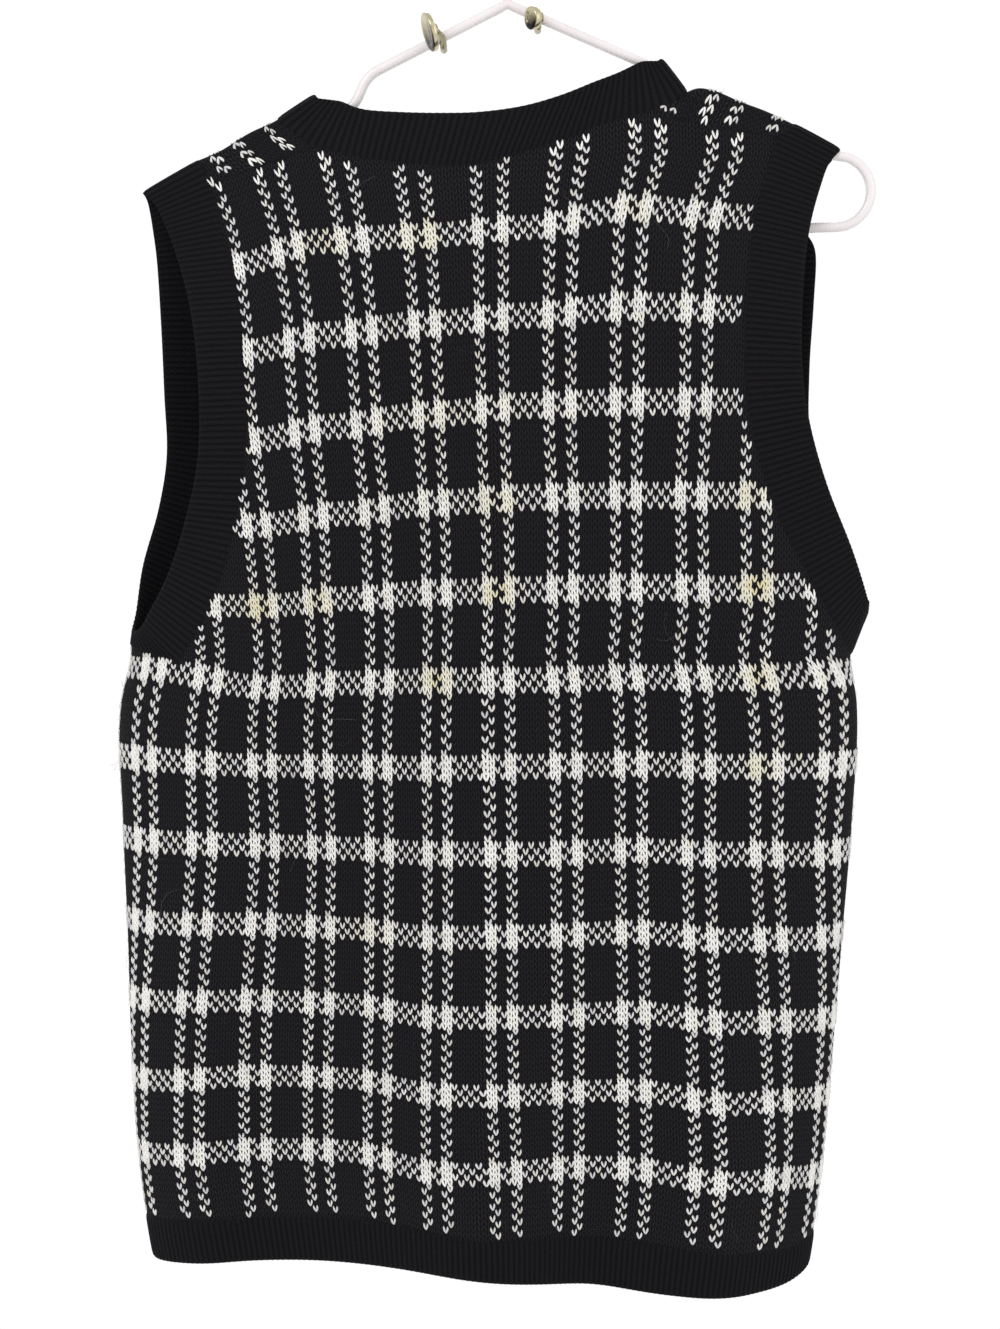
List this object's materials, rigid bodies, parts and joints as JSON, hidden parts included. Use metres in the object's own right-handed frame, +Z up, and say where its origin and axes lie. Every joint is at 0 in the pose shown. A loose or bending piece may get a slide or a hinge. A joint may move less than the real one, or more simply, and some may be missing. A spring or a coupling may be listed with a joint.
{
  "type": "knitted sweater vest on a tubular hanger",
  "caption": "Sleeveless V-neck pullover in a windowpane check knit with ribbed neck, armhole and hem bands, hanging on a white tubular hanger that rests on metal pegs.",
  "frame": {"origin": "inner top of the hanger's hook, where it rests on a rail", "axes": "+Z up; +Y from the back of the vest to its front, so the pictured back faces -Y; +X towards the wearer's right, the right of the picture"},
  "size_m": [0.434, 0.1222, 0.8118],
  "materials": {
    "check_knit": "black stocking stitch with an off-white windowpane check",
    "black_rib": "black knitted rib",
    "white_plastic": "smooth white plastic coating",
    "peg_metal": "pale polished brass"
  },
  "bodies": {
    "root": {"back_panel": "check_knit", "front_panel": "check_knit", "hem_rib_back": "black_rib", "hem_rib_front": "black_rib", "neckband": "black_rib", "armband_left": "black_rib", "armband_right": "black_rib", "hanger": "white_plastic", "hanger_hook": "white_plastic", "peg_left": "peg_metal", "peg_right": "peg_metal"}
  },
  "joints": []
}
